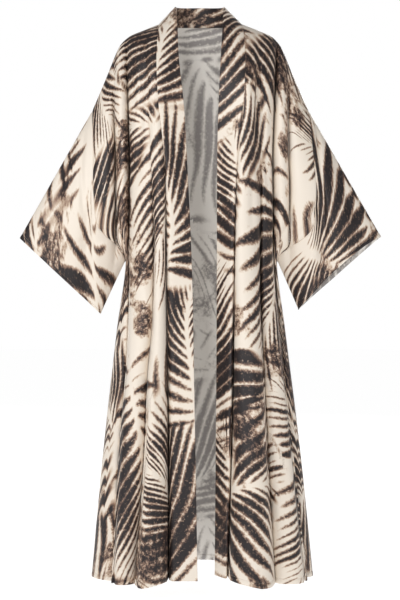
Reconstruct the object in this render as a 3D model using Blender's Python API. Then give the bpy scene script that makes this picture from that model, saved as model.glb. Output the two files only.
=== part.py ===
# Kimono coat, filled out as if worn: back, two fronts, two wide sleeves and one long neckband.
# +X is the viewer's right, the front faces -Y, +Z is up. The origin is between the shoulders,
# at the height where the cloth lies on them. Sizes are in metres.

import math

import bpy
from mathutils import Vector

WALL = 0.0016
BAND_WALL = 0.0028
SEAM_GAP = 0.0003

NECK_HALF_WIDTH = 0.095
NECK_BACK_DEPTH = 0.060
NECK_BACK_DROP = 0.004
CHEST_ROW_Z = -0.500
UNDERARM_Z = -0.550
HEM_Z = -1.265
FRONT_EDGE_LIFT = {-1: 0.010, 1: 0.014}
SHOULDER_ROUND = 0.170
ARMHOLE_HALF_DEPTH = 0.050
STRIP_SHARE = 0.39
STRIP_BULGE = 0.0125
WING_BULGE = 0.008
BAND_BACK_HEIGHT = 0.045
BAND_BACK_LEAN = 0.012

# How rows crowd towards the shoulder, along the armhole and down the panel's inner edge.
ARMHOLE_EASE = 1.3
INNER_EASE = 1.5
# Where a panel's outer part starts to turn into the body's side, and over how many rows' share.
SIDE_TURN_START = 0.75
SIDE_TURN_LENGTH = 1 / 3
# Share of a sleeve over which its folds rise to their depth.
FOLD_RISE = 1 / 3
# Direction of the cloth's outer face at the underarm point: outwards, up.
PANEL_UNDERARM = (1.0, 0.0)
SLEEVE_UNDERARM = (-0.9, -0.43)

CLOTH_COLOUR = (0.40, 0.33, 0.28)
BAND_COLOUR = (0.34, 0.28, 0.24)
SATIN_ROUGHNESS = 0.42

# Rows down a panel to the underarm and below it, and columns across its parts.
ARMHOLE_ROWS = 12
SKIRT_ROWS = 15
FRONT_COLUMNS = (6, 7)
BACK_COLUMNS = (3, 6, 6)
STRIP_COLUMNS = 4
WING_COLUMNS = 4
SLEEVE_ROWS = 9
BAND_COLUMNS = 3

# Shoulder line, from the neck over the shoulder's corner to the top of the armhole seam.
# x, z
SHOULDER = (
    (0.095, -0.010),
    (0.133, -0.025),
    (0.162, -0.037),
    (0.182, -0.054),
    (0.194, -0.076),
    (0.213, -0.123),
    (0.230, -0.165),
    (0.247, -0.207),
)

# Body sections: half widths of the two sides, depths in front of and behind the side seams,
# and how far the cloth bulges out at the side.
# z, half width right, half width left, front depth, back depth, side bulge
BODY = (
    (0.000, 0.186, 0.190, 0.112, 0.092, 0.000),
    (-0.200, 0.184, 0.186, 0.120, 0.110, 0.000),
    (-0.400, 0.180, 0.184, 0.122, 0.118, 0.000),
    (-0.550, 0.168, 0.172, 0.121, 0.122, 0.003),
    (-0.700, 0.181, 0.184, 0.120, 0.128, 0.009),
    (-0.980, 0.209, 0.215, 0.121, 0.138, 0.013),
    (-1.265, 0.234, 0.243, 0.124, 0.150, 0.014),
)

# Lines down each front: the neckband's seam, the middle valley and the valley from the armpit,
# then how far the cloth bulges between the seam and the middle valley, and between the valleys.
# z, seam x, middle valley x, armpit valley x, inner bulge, outer bulge
FRONT_RIGHT = (
    (-0.010, 0.095, 0.122, 0.169, 0.000, 0.002),
    (-0.100, 0.098, 0.121, 0.166, 0.003, 0.005),
    (-0.200, 0.093, 0.116, 0.163, 0.004, 0.007),
    (-0.310, 0.081, 0.109, 0.160, 0.006, 0.009),
    (-0.410, 0.077, 0.105, 0.160, 0.008, 0.010),
    (-0.550, 0.076, 0.104, 0.162, 0.012, 0.013),
    (-0.684, 0.075, 0.106, 0.161, 0.018, 0.020),
    (-0.800, 0.073, 0.116, 0.166, 0.024, 0.024),
    (-0.980, 0.071, 0.123, 0.180, 0.034, 0.029),
    (-1.265, 0.071, 0.143, 0.193, 0.045, 0.032),
)
FRONT_LEFT = (
    (-0.010, 0.095, 0.127, 0.177, 0.000, 0.002),
    (-0.100, 0.100, 0.134, 0.172, 0.003, 0.005),
    (-0.200, 0.095, 0.132, 0.167, 0.005, 0.006),
    (-0.310, 0.084, 0.134, 0.163, 0.008, 0.006),
    (-0.410, 0.079, 0.135, 0.164, 0.011, 0.007),
    (-0.550, 0.076, 0.134, 0.166, 0.015, 0.009),
    (-0.684, 0.074, 0.136, 0.177, 0.022, 0.016),
    (-0.800, 0.073, 0.141, 0.187, 0.028, 0.022),
    (-0.980, 0.069, 0.149, 0.204, 0.036, 0.028),
    (-1.265, 0.060, 0.164, 0.234, 0.048, 0.035),
)

# Lines down each half of the back: its middle, two valleys and the valley from the armpit,
# then how far the cloth bulges between them.
# z, middle x, first valley x, second valley x, armpit valley x, three bulges
BACK_RIGHT = (
    (-0.010, 0.000, 0.036, 0.095, 0.169, 0.000, 0.000, 0.002),
    (-0.150, 0.000, 0.037, 0.097, 0.160, 0.000, 0.003, 0.005),
    (-0.310, 0.000, 0.040, 0.098, 0.156, 0.003, 0.006, 0.008),
    (-0.550, 0.000, 0.043, 0.096, 0.150, 0.008, 0.012, 0.010),
    (-0.800, 0.000, 0.040, 0.104, 0.160, 0.016, 0.020, 0.019),
    (-1.265, 0.000, 0.036, 0.118, 0.190, 0.026, 0.034, 0.030),
)
BACK_LEFT = (
    (-0.010, 0.000, 0.036, 0.095, 0.177, 0.000, 0.000, 0.002),
    (-0.150, 0.000, 0.039, 0.096, 0.164, 0.000, 0.004, 0.004),
    (-0.310, 0.000, 0.044, 0.100, 0.158, 0.003, 0.008, 0.006),
    (-0.550, 0.000, 0.048, 0.105, 0.154, 0.008, 0.014, 0.009),
    (-0.800, 0.000, 0.052, 0.120, 0.172, 0.016, 0.024, 0.016),
    (-1.265, 0.000, 0.058, 0.136, 0.206, 0.026, 0.037, 0.029),
)

# Armhole seam, from the shoulder's end straight down and in to the underarm.
# x, z
ARMHOLE_RIGHT = ((0.247, -0.207), (0.242, -0.300), (0.241, -0.400), (0.228, -0.480), (0.170, -0.550))
ARMHOLE_LEFT = ((0.247, -0.207), (0.254, -0.300), (0.261, -0.400), (0.246, -0.490), (0.174, -0.550))

# Long folds on a sleeve, placed across it from the top line (0) to the under seam (1).
# place at armhole, place at cuff, width, depth in front, depth at the back
SLEEVE_FOLDS_RIGHT = (
    (0.62, 0.86, 0.12, 0.012, 0.000),
    (0.30, 0.42, 0.15, -0.005, 0.006),
    (0.70, 0.62, 0.14, 0.000, 0.011),
)
SLEEVE_FOLDS_LEFT = (
    (0.60, 0.70, 0.12, 0.012, 0.000),
    (0.28, 0.36, 0.15, -0.006, 0.005),
    (0.72, 0.58, 0.14, 0.000, 0.010),
)

# Free edge of the neckband against its seam. The band leans up and in at the neck, and turns
# back below the chest on the wearer's left.
# z of the seam, free edge x, rise, set back
BAND_RIGHT = (
    (-0.010, 0.057, 0.041, 0.000),
    (-0.050, 0.052, 0.031, 0.002),
    (-0.110, 0.048, 0.016, 0.008),
    (-0.200, 0.037, 0.006, 0.014),
    (-0.310, 0.030, 0.000, 0.020),
    (-0.550, 0.019, 0.000, 0.014),
    (-0.800, 0.014, 0.000, 0.006),
    (-1.265, 0.006, 0.000, 0.000),
)
BAND_LEFT = (
    (-0.010, 0.054, 0.041, 0.000),
    (-0.050, 0.050, 0.031, 0.002),
    (-0.110, 0.045, 0.016, 0.008),
    (-0.200, 0.040, 0.006, 0.016),
    (-0.310, 0.037, 0.000, 0.028),
    (-0.550, 0.036, 0.000, 0.042),
    (-0.800, 0.035, 0.000, 0.044),
    (-1.265, 0.031, 0.000, 0.050),
)

# The two sides of the coat. A cuff has a corner at the sleeve's top line and one at its under
# seam, and its half depth.
SIDES = {
    -1: {
        "name": "right",
        "front": FRONT_RIGHT,
        "back": BACK_RIGHT,
        "armhole": ARMHOLE_RIGHT,
        "cuff": ((0.412, -0.497), (0.227, -0.670), 0.028),
        "sleeve_folds": SLEEVE_FOLDS_RIGHT,
        "band": BAND_RIGHT,
        "width_column": 1,
    },
    1: {
        "name": "left",
        "front": FRONT_LEFT,
        "back": BACK_LEFT,
        "armhole": ARMHOLE_LEFT,
        "cuff": ((0.412, -0.494), (0.223, -0.661), 0.034),
        "sleeve_folds": SLEEVE_FOLDS_LEFT,
        "band": BAND_LEFT,
        "width_column": 2,
    },
}
FRONT, BACK = -1, 1


def mix(a, b, share):
    return a + (b - a) * share


def smooth(value):
    value = min(1.0, max(0.0, value))
    return value * value * (3.0 - 2.0 * value)


def arch(value):
    # Height of a half circle over 0 to 1.
    return math.sqrt(max(0.0, 1.0 - (2.0 * value - 1.0) ** 2))


def tube(share):
    # Round tube of cloth between two valleys.
    return max(0.0, math.sin(math.pi * share))


def read(table, column, at):
    # Smooth curve through one column of a table, read at a value of its first column.
    rows = sorted(table)
    last = len(rows) - 1
    at = min(rows[last][0], max(rows[0][0], at))
    i = next(n for n in range(last) if at <= rows[n + 1][0])
    before, low, high, after = (rows[min(last, max(0, n))] for n in range(i - 1, i + 3))
    width = high[0] - low[0]
    slope_low = (high[column] - before[column]) / (high[0] - before[0])
    slope_high = (after[column] - low[column]) / (after[0] - low[0])
    t = (at - low[0]) / width
    bend = (t**3 - 2 * t**2 + t) * slope_low + (t**3 - t**2) * slope_high
    return mix(low[column], high[column], 3 * t**2 - 2 * t**3) + width * bend


def along(path, share):
    # Point at a share of the length of a smooth curve through a path's points.
    lengths = [0.0]
    for a, b in zip(path, path[1:]):
        lengths.append(lengths[-1] + math.dist(a, b))
    keyed = [(length / lengths[-1], *point) for length, point in zip(lengths, path)]
    return [read(keyed, column, share) for column in range(1, len(path[0]) + 1)]


def top_z(x):
    # Height of the shoulder line, or of the back of the neck between its two ends.
    drop = NECK_BACK_DROP * (1.0 - min(1.0, x / NECK_HALF_WIDTH) ** 2)
    return read(SHOULDER, 1, x) - drop


def neck_y(x):
    return NECK_BACK_DEPTH * math.sqrt(max(0.0, 1.0 - (x / NECK_HALF_WIDTH) ** 2))


def lines_and_bulges(side, face, z):
    table = SIDES[side]["front" if face == FRONT else "back"]
    values = [read(table, column, z) for column in range(1, len(table[0]))]
    lines = 3 if face == FRONT else 4
    return values[:lines], values[lines:]


def height(side, face, across, down, top_x):
    # Height of a panel's point: down is 0 at the shoulder, 1 at the underarm, 2 at the hem.
    inner_parts = 2 if face == FRONT else 3
    armpit = mix(CHEST_ROW_Z, UNDERARM_Z, smooth(across / inner_parts))
    if down > 1.0:
        lift = FRONT_EDGE_LIFT[side] * max(0.0, 1.0 - 2.0 * across) if face == FRONT else 0.0
        return mix(armpit, HEM_Z + lift, down - 1.0)
    armhole = SIDES[side]["armhole"]
    seam_top = armhole[0][1]
    seam_share = (along(armhole, down**ARMHOLE_EASE)[1] - seam_top) / (UNDERARM_Z - seam_top)
    return mix(top_z(top_x), armpit, mix(down**INNER_EASE, seam_share, across / (inner_parts + 1)))


def panel_point(side, face, across, down):
    # Outer surface of a front or back panel. Whole numbers across are the panel's lines, from
    # its inner edge out, and its last part reaches to the armhole or side seam.
    top_lines = lines_and_bulges(side, face, 0.0)[0]
    armhole = SIDES[side]["armhole"]
    part = min(int(across), len(top_lines) - 1)
    share = across - part
    top_x = mix(top_lines[part], (top_lines + [armhole[0][0]])[part + 1], share)
    z = height(side, face, across, down, top_x)
    lines, bulges = lines_and_bulges(side, face, z)
    half = read(BODY, SIDES[side]["width_column"], z)
    depth = read(BODY, 3 if face == FRONT else 4, z)
    side_bulge = read(BODY, 5, z)
    start = neck_y(top_x) if face == BACK and top_x < NECK_HALF_WIDTH else 0.0
    drop = 1.0 if down > 1.0 else min(1.0, (top_z(top_x) - z) / SHOULDER_ROUND)
    rounding = math.sqrt(max(0.0, 1.0 - (1.0 - drop) ** 2))

    def on_body(angle, bulge):
        out = bulge * rounding
        x = (half + out) * math.sin(angle)
        return Vector((x, mix(start, depth * math.cos(angle), rounding) + out * math.cos(angle), 0.0))

    if part < len(bulges):
        angle = math.asin(min(1.0, mix(lines[part], lines[part + 1], share) / half))
        tube_share = share
        if face == BACK and part == 0:
            tube_share = 0.5 + 0.5 * share
        point = on_body(angle, bulges[part] * tube(tube_share))
    else:
        armpit_angle = math.asin(min(1.0, lines[-1] / half))
        below = on_body(mix(armpit_angle, math.pi / 2, share), side_bulge * tube(0.5 * share))
        seam_down = min(1.0, down) ** ARMHOLE_EASE
        seam_x = along(armhole, seam_down)[0]
        valley_y = on_body(armpit_angle, 0.0).y
        y = mix(valley_y, ARMHOLE_HALF_DEPTH * arch(seam_down), smooth(share))
        strip = STRIP_BULGE * tube(min(1.0, share / STRIP_SHARE))
        wing = WING_BULGE * tube(max(0.0, share - STRIP_SHARE) / (1.0 - STRIP_SHARE))
        spread = (seam_x - lines[-1]) / (armhole[0][0] - top_lines[-1])
        y += (strip + wing) * rounding * arch(seam_down) * min(1.0, spread)
        above = Vector((mix(lines[-1], seam_x, share), y, 0.0))
        point = above.lerp(below, smooth((down - SIDE_TURN_START) / SIDE_TURN_LENGTH))
    return Vector((side * point.x, face * point.y, z))


def steps(parts):
    # Even steps through parts that start at whole numbers.
    places = [part + i / count for part, count in enumerate(parts) for i in range(count)]
    last = len(parts)
    places += [last + STRIP_SHARE * i / STRIP_COLUMNS for i in range(STRIP_COLUMNS)]
    wing = range(WING_COLUMNS + 1)
    return places + [last + mix(STRIP_SHARE, 1.0, i / WING_COLUMNS) for i in wing]


def panel_rows():
    upper = [row / ARMHOLE_ROWS for row in range(ARMHOLE_ROWS)]
    return upper + [1.0 + row / SKIRT_ROWS for row in range(SKIRT_ROWS + 1)]


def front_grid(side):
    places = steps(FRONT_COLUMNS)
    grid = [[panel_point(side, FRONT, across, down) for across in places] for down in panel_rows()]
    return grid if side < 0 else [row[::-1] for row in grid]


def back_grid():
    places = steps(BACK_COLUMNS)
    grid = []
    for down in panel_rows():
        right = [panel_point(-1, BACK, across, down) for across in places]
        left = [panel_point(1, BACK, across, down) for across in places]
        right[0] = left[0] = (right[0] + left[0]) / 2
        grid.append(right[:0:-1] + left)
    return grid


def sleeve_grid(side, front, back):
    # Rings from the armhole seam to the cuff, each down the front and up the back.
    front_end, back_end = (-1, 0) if side < 0 else (0, -1)
    around_front = [row[front_end] for row in front[: ARMHOLE_ROWS + 1]]
    around_back = [row[back_end] for row in back[: ARMHOLE_ROWS + 1]]
    seam = around_front + around_back[-2:0:-1]
    top, under, half_depth = SIDES[side]["cuff"]
    grid = []
    for row in range(SLEEVE_ROWS + 1):
        share = row / SLEEVE_ROWS
        ring = []
        for i, start in enumerate(seam):
            face = FRONT if i <= ARMHOLE_ROWS else BACK
            place = (i if face == FRONT else len(seam) - i) / ARMHOLE_ROWS
            across = (1.0 - math.cos(math.pi * place)) / 2
            cuff = Vector((side * mix(top[0], under[0], across), face * half_depth * arch(across),
                           mix(top[1], under[1], across)))
            point = start.lerp(cuff, share)
            for at_armhole, at_cuff, width, in_front, behind in SIDES[side]["sleeve_folds"]:
                depth = in_front if face == FRONT else behind
                away = (across - mix(at_armhole, at_cuff, share)) / width
                point.y -= face * depth * math.exp(-away * away) * smooth(share / FOLD_RISE) * arch(across)
            ring.append(point)
        grid.append(ring if side > 0 else ring[::-1])
    return grid


def band_grid(fronts, back):
    # Sections from hem to neck up the wearer's right front, round the neck and down the left.
    sections = []
    for side in (-1, 1):
        edge = [row[0 if side < 0 else -1] for row in fronts[side]]
        part = []
        for seam in edge:
            table = SIDES[side]["band"]
            free_x, rise, set_back = (read(table, column, seam.z) for column in (1, 2, 3))
            part.append((seam, Vector((side * free_x, seam.y + set_back, seam.z + rise))))
        sections.append(part)
    neck = [point for point in back[0] if abs(point.x) < NECK_HALF_WIDTH - SEAM_GAP]
    behind = []
    for seam in neck:
        side = -1 if seam.x < 0 else 1
        _, free_x, side_rise, _ = SIDES[side]["band"][0]
        share = abs(seam.x) / NECK_HALF_WIDTH
        lean = 1.0 - BAND_BACK_LEAN / NECK_BACK_DEPTH
        rise = mix(BAND_BACK_HEIGHT, side_rise, share**2)
        behind.append((seam, Vector((side * free_x * share, seam.y * lean, seam.z + rise))))
    path = sections[0][::-1] + behind + sections[1]
    shares = [i / BAND_COLUMNS for i in range(BAND_COLUMNS + 1)]
    return [[seam.lerp(free, share) for share in shares] for seam, free in path]


def key(point):
    return tuple(round(value, 6) for value in point)


def add_normals(total, grid, ring):
    # Sums the face normals at each point, so that pieces that meet share them.
    width = len(grid[0])
    for upper, lower in zip(grid, grid[1:]):
        for i in range(width if ring else width - 1):
            a, b = upper[i], upper[(i + 1) % width]
            c, d = lower[(i + 1) % width], lower[i]
            normal = (c - a).cross(d - b)
            for point in (a, b, c, d):
                total[key(point)] = total.get(key(point), Vector()) + normal


def with_underarm(normals, outwards, up):
    # The normals, with the underarm's own direction: there the body's side faces out, and the
    # sleeve faces back at it.
    changed = dict(normals)
    for point in normals:
        if point[1] == 0.0 and point[2] == UNDERARM_Z:
            changed[point] = Vector((math.copysign(outwards, outwards * point[0]), 0.0, up))
    return changed


def pulled_back(grid, ring, edges):
    # The grid with its sewn edges half a seam gap back.
    moved = [list(row) for row in grid]

    def pull(row, column, to_row, to_column):
        step = (grid[to_row][to_column] - grid[row][column]).normalized()
        moved[row][column] = moved[row][column] + step * SEAM_GAP / 2

    rows, width = len(grid), len(grid[0])
    for row in range(rows):
        if "start" in edges and not ring:
            pull(row, 0, row, 1)
        if "end" in edges and not ring:
            pull(row, width - 1, row, width - 2)
    for column in range(width):
        if "top" in edges:
            pull(0, column, 1, column)
    return moved


def make_wall(name, grid, normals, wall, ring, edges, material):
    # A closed wall: the grid outside, a copy set in by the wall's thickness, and the rims.
    outer = pulled_back(grid, ring, edges)
    rows, width = len(grid), len(grid[0])
    points = [point for row in outer for point in row]
    inside = [normals[key(point)].normalized() for row in grid for point in row]
    count = len(points)
    points += [point - normal * wall for point, normal in zip(points, inside)]
    faces = []
    columns = width if ring else width - 1
    for row in range(rows - 1):
        for i in range(columns):
            a, b = row * width + i, row * width + (i + 1) % width
            c, d = b + width, a + width
            straight = (points[a] - points[c]).length <= (points[b] - points[d]).length
            halves = ((a, b, c), (a, c, d)) if straight else ((a, b, d), (b, c, d))
            for half in halves:
                faces.append(half)
                faces.append(tuple(count + corner for corner in half[::-1]))
    border = []
    last = (rows - 1) * width
    for i in range(columns):
        border.append((i, (i + 1) % width))
        border.append((last + (i + 1) % width, last + i))
    if not ring:
        for row in range(rows - 1):
            border.append((row * width + width - 1, (row + 1) * width + width - 1))
            border.append(((row + 1) * width, row * width))
    corners = [key(point) for row in grid for point in row]
    for a, b in border:
        # The same diagonal is taken as on the rim of the piece that is sewn on here.
        if corners[a] < corners[b]:
            faces.append((b, a, count + b))
            faces.append((a, count + a, count + b))
        else:
            faces.append((b, a, count + a))
            faces.append((b, count + a, count + b))
    mesh = bpy.data.meshes.new(name)
    mesh.from_pydata(points, [], faces)
    mesh.materials.append(material)
    for face in mesh.polygons:
        face.use_smooth = True
    made = bpy.data.objects.new(name, mesh)
    bpy.context.scene.collection.objects.link(made)


def cloth_material(name, colour):
    # Light satin cloth, at the mean colour of its dark leaf print on ivory.
    material = bpy.data.materials.new(name)
    material.use_nodes = True
    shader = material.node_tree.nodes["Principled BSDF"]
    shader.inputs["Base Color"].default_value = (*colour, 1.0)
    shader.inputs["Roughness"].default_value = SATIN_ROUGHNESS
    shader.inputs["Metallic"].default_value = 0.0
    return material


def main():
    for item in list(bpy.data.objects):
        bpy.data.objects.remove(item)
    cloth = cloth_material("printed_satin", CLOTH_COLOUR)
    band_cloth = cloth_material("printed_satin_band", BAND_COLOUR)
    fronts = {side: front_grid(side) for side in SIDES}
    back = back_grid()
    sewn = {"top", "start", "end"}
    pieces = [("back", back, False, sewn)]
    for side, values in SIDES.items():
        pieces.append(("front_" + values["name"], fronts[side], False, sewn))
        sleeve = sleeve_grid(side, fronts[side], back)
        pieces.append(("sleeve_" + values["name"], sleeve, True, {"top"}))
    band = band_grid(fronts, back)
    # Front and back meet in the plane of the shoulder and side seams, where normals lie in it.
    normals = {}
    for _, grid, ring, _ in pieces:
        add_normals(normals, grid, ring)
    add_normals(normals, band, False)
    for point, normal in normals.items():
        if point[1] == 0.0:
            normal.y = 0.0
    panel_normals = with_underarm(normals, *PANEL_UNDERARM)
    sleeve_normals = with_underarm(normals, *SLEEVE_UNDERARM)
    for name, grid, ring, edges in pieces:
        make_wall(name, grid, sleeve_normals if ring else panel_normals, WALL, ring, edges, cloth)
    make_wall("neckband", band, normals, BAND_WALL, False, {"start"}, band_cloth)


main()
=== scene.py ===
import math
import random

import bpy
import numpy as np
from mathutils import Matrix, Vector, noise


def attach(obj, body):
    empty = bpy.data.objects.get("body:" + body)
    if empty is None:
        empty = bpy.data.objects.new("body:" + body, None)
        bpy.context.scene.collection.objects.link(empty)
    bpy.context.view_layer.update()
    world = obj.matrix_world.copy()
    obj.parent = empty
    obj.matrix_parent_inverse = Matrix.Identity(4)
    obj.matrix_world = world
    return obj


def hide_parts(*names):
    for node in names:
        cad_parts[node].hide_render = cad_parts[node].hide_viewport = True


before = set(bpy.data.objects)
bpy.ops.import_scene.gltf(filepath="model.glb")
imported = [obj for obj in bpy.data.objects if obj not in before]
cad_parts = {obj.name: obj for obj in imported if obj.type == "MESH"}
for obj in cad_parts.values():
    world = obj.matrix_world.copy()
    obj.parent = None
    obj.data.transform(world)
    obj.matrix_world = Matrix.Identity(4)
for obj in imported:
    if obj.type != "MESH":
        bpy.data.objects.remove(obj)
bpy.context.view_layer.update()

# Kimono coat in printed satin. Metres, +X is the viewer's right, the front faces -Y.
front, back = -1, 1


def metres(table):  # from millimetres, as the long tables have them
    return tuple(metres(value) if isinstance(value, tuple) else value / 1000 for value in table)


# The photograph's viewing angle.
cameraSettings = {"distance": 3.6, "height": -0.524, "side": -0.001, "lens": 94.7, "shift": -0.0833}

cameraData = bpy.data.cameras.new("photoView")
cameraData.lens = cameraSettings["lens"]
cameraData.shift_y = cameraSettings["shift"]
cameraData.clip_end = 50.0
photoView = bpy.data.objects.new("photoView", cameraData)
photoView.location = (cameraSettings["side"], -cameraSettings["distance"], cameraSettings["height"])
photoView.rotation_euler = (math.pi / 2, 0.0, 0.0)
bpy.context.scene.collection.objects.link(photoView)
bpy.context.scene.camera = photoView

# The coat's lines, as the solids follow them; only the neckband's back is a few millimetres higher.
neck = {"halfWidth": 0.095, "backDepth": 0.060, "backDrop": -0.003}
body = {
    "chestRow": -0.500, "underarm": -0.550, "hem": -1.265, "edgeLift": {-1: 0.010, 1: 0.014},
    "shoulderRound": 0.170, "armholeHalfDepth": 0.050,
    "stripShare": 0.39, "stripBulge": 0.0125, "wingBulge": 0.008, "foldFullness": 0.72,
    # how rows crowd towards the shoulder along the armhole and along the inner edge
    "armholeEase": 1.3, "innerEase": 1.5,
    # where a panel's outer part starts to turn into the body's side, and how fast
    "sideTurn": (0.75, 3.0),
    # direction of the outer face at the underarm point: outwards, up
    "panelUnderarm": (1.0, 0.0), "sleeveUnderarm": (-0.9, -0.43),
    # x, z from the neck over the shoulder to the armhole seam
    "shoulder": metres((
        (95, -10), (133, -25), (162, -37), (182, -54),
        (194, -76), (213, -123), (230, -165), (247, -207),
    )),
    # z, half width right, half width left, front depth, back depth, side bulge
    "sections": metres((
        (0, 186, 190, 112, 92, 0),
        (-200, 184, 186, 120, 110, 0),
        (-400, 180, 184, 122, 118, 0),
        (-550, 168, 172, 121, 122, 3),
        (-700, 181, 184, 120, 128, 9),
        (-980, 209, 215, 121, 138, 13),
        (-1265, 234, 243, 124, 150, 14),
    )),
}
# z, neckband seam x, middle valley x, armpit valley x, inner bulge, outer bulge
frontRight = metres((
    (-10, 95, 122, 169, 0, 2),
    (-100, 98, 121, 166, 3, 5),
    (-200, 93, 116, 163, 4, 7),
    (-310, 81, 109, 160, 6, 9),
    (-410, 77, 105, 160, 8, 10),
    (-550, 76, 104, 162, 12, 13),
    (-684, 75, 106, 161, 18, 20),
    (-800, 73, 116, 166, 24, 24),
    (-980, 71, 123, 180, 34, 29),
    (-1265, 71, 143, 193, 45, 32),
))
frontLeft = metres((
    (-10, 95, 127, 177, 0, 2),
    (-100, 100, 134, 172, 3, 5),
    (-200, 95, 132, 167, 5, 6),
    (-310, 84, 134, 163, 8, 6),
    (-410, 79, 135, 164, 11, 7),
    (-550, 76, 134, 166, 15, 9),
    (-684, 74, 136, 177, 22, 16),
    (-800, 73, 141, 187, 28, 22),
    (-980, 69, 149, 204, 36, 28),
    (-1265, 60, 164, 234, 48, 35),
))
# z, middle x, first valley x, second valley x, armpit valley x, three bulges
backRight = metres((
    (-10, 0, 36, 95, 169, 0, 0, 2),
    (-150, 0, 37, 97, 160, 0, 3, 5),
    (-310, 0, 40, 98, 156, 3, 6, 8),
    (-550, 0, 43, 96, 150, 8, 12, 10),
    (-800, 0, 40, 104, 160, 16, 20, 19),
    (-1265, 0, 36, 118, 190, 26, 34, 30),
))
backLeft = metres((
    (-10, 0, 36, 95, 177, 0, 0, 2),
    (-150, 0, 39, 96, 164, 0, 4, 4),
    (-310, 0, 44, 100, 158, 3, 8, 6),
    (-550, 0, 48, 105, 154, 8, 14, 9),
    (-800, 0, 52, 120, 172, 16, 24, 16),
    (-1265, 0, 58, 136, 206, 26, 37, 29),
))
# z of the seam, free edge x, rise, set back
bandRight = metres((
    (-10, 57, 41, 0),
    (-50, 52, 31, 2),
    (-110, 48, 16, 8),
    (-200, 37, 6, 14),
    (-310, 30, 0, 20),
    (-550, 19, 0, 14),
    (-800, 14, 0, 6),
    (-1265, 6, 0, 0),
))
bandLeft = metres((
    (-10, 54, 41, 0),
    (-50, 50, 31, 2),
    (-110, 45, 16, 8),
    (-200, 40, 6, 16),
    (-310, 37, 0, 28),
    (-550, 36, 0, 42),
    (-800, 35, 0, 44),
    (-1265, 31, 0, 50),
))
band = {
    "wall": 0.0028, "thinner": 0.0004, "backHeight": 0.042, "backLean": 0.012,
    "cornerSoft": (0.003, 0.007), "cornerReach": 0.022,
    # where columns lie between its sewn edge and its free edge
    "sewnColumns": (0.0, 0.02, 0.05), "evenPart": 0.87, "freeColumns": (0.93, 0.96, 0.985, 0.995, 1.0),
}
sides = {
    -1: {
        "name": "right", "front": frontRight, "back": backRight, "band": bandRight, "widthColumn": 1,
        "armhole": ((0.247, -0.207), (0.242, -0.300), (0.241, -0.400), (0.228, -0.480), (0.170, -0.550)),
        "cuff": ((0.412, -0.497), (0.227, -0.670), 0.028), "gape": 0.002,
        # place at armhole, place at cuff, width, depth in front, depth at the back
        "sleeveFolds": (
            (0.62, 0.86, 0.12, 0.012, 0.000),
            (0.30, 0.42, 0.15, -0.005, 0.006),
            (0.70, 0.62, 0.14, 0.000, 0.011),
        ),
    },
    1: {
        "name": "left", "front": frontLeft, "back": backLeft, "band": bandLeft, "widthColumn": 2,
        "armhole": ((0.247, -0.207), (0.254, -0.300), (0.261, -0.400), (0.246, -0.490), (0.174, -0.550)),
        "cuff": ((0.412, -0.494), (0.223, -0.661), 0.034), "gape": 0.016,
        "sleeveFolds": (
            (0.60, 0.70, 0.12, 0.012, 0.000),
            (0.28, 0.36, 0.15, -0.006, 0.005),
            (0.72, 0.58, 0.14, 0.000, 0.010),
        ),
    },
}


def mix(a, b, share):
    return a + (b - a) * share


def smooth(value):
    value = np.clip(value, 0.0, 1.0)
    return value * value * (3.0 - 2.0 * value)


def arch(value):  # half circle over 0 to 1
    return np.sqrt(np.maximum(0.0, 1.0 - (2.0 * value - 1.0) ** 2))


def tube(value):  # round fold between two valleys
    return np.maximum(0.0, np.sin(np.pi * value)) ** body["foldFullness"]


def readCurve(table, column, at):  # smooth curve through one column of a table
    rows = np.array(sorted(table), dtype=float)
    x, y = rows[:, 0], rows[:, column]
    at = np.clip(at, x[0], x[-1])
    i = np.clip(np.searchsorted(x, at) - 1, 0, len(x) - 2)
    before, after = np.maximum(i - 1, 0), np.minimum(i + 2, len(x) - 1)
    width = x[i + 1] - x[i]
    slopeLow = (y[i + 1] - y[before]) / (x[i + 1] - x[before])
    slopeHigh = (y[after] - y[i]) / (x[after] - x[i])
    t = (at - x[i]) / width
    bend = (t**3 - 2 * t**2 + t) * slopeLow + (t**3 - t**2) * slopeHigh
    return mix(y[i], y[i + 1], 3 * t**2 - 2 * t**3) + width * bend


def along(path, share):  # point at a share of the length of a smooth path
    lengths = [0.0]
    for a, b in zip(path, path[1:]):
        lengths.append(lengths[-1] + math.dist(a, b))
    keyed = [(length / lengths[-1], *point) for length, point in zip(lengths, path)]
    return [readCurve(keyed, column, share) for column in range(1, len(path[0]) + 1)]


def topZ(x):
    drop = neck["backDrop"] * (1.0 - np.minimum(1.0, x / neck["halfWidth"]) ** 2)
    return readCurve(body["shoulder"], 1, x) - drop


def neckY(x):
    return neck["backDepth"] * np.sqrt(np.maximum(0.0, 1.0 - (x / neck["halfWidth"]) ** 2))


def panelHeights(side, face, across, down, topX):
    innerParts = 2 if face == front else 3
    armpit = mix(body["chestRow"], body["underarm"], smooth(across / innerParts))
    lift = body["edgeLift"][side] * np.maximum(0.0, 1.0 - 2.0 * across) if face == front else 0.0
    armhole = sides[side]["armhole"]
    upperDown = np.minimum(down, 1.0)
    seamTop = armhole[0][1]
    seamShare = (along(armhole, upperDown ** body["armholeEase"])[1] - seamTop) / (body["underarm"] - seamTop)
    rowShare = mix(upperDown ** body["innerEase"], seamShare, across / (innerParts + 1))
    upper = mix(topZ(topX), armpit, rowShare)
    return np.where(down > 1.0, mix(armpit, body["hem"] + lift, down - 1.0), upper)


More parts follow.
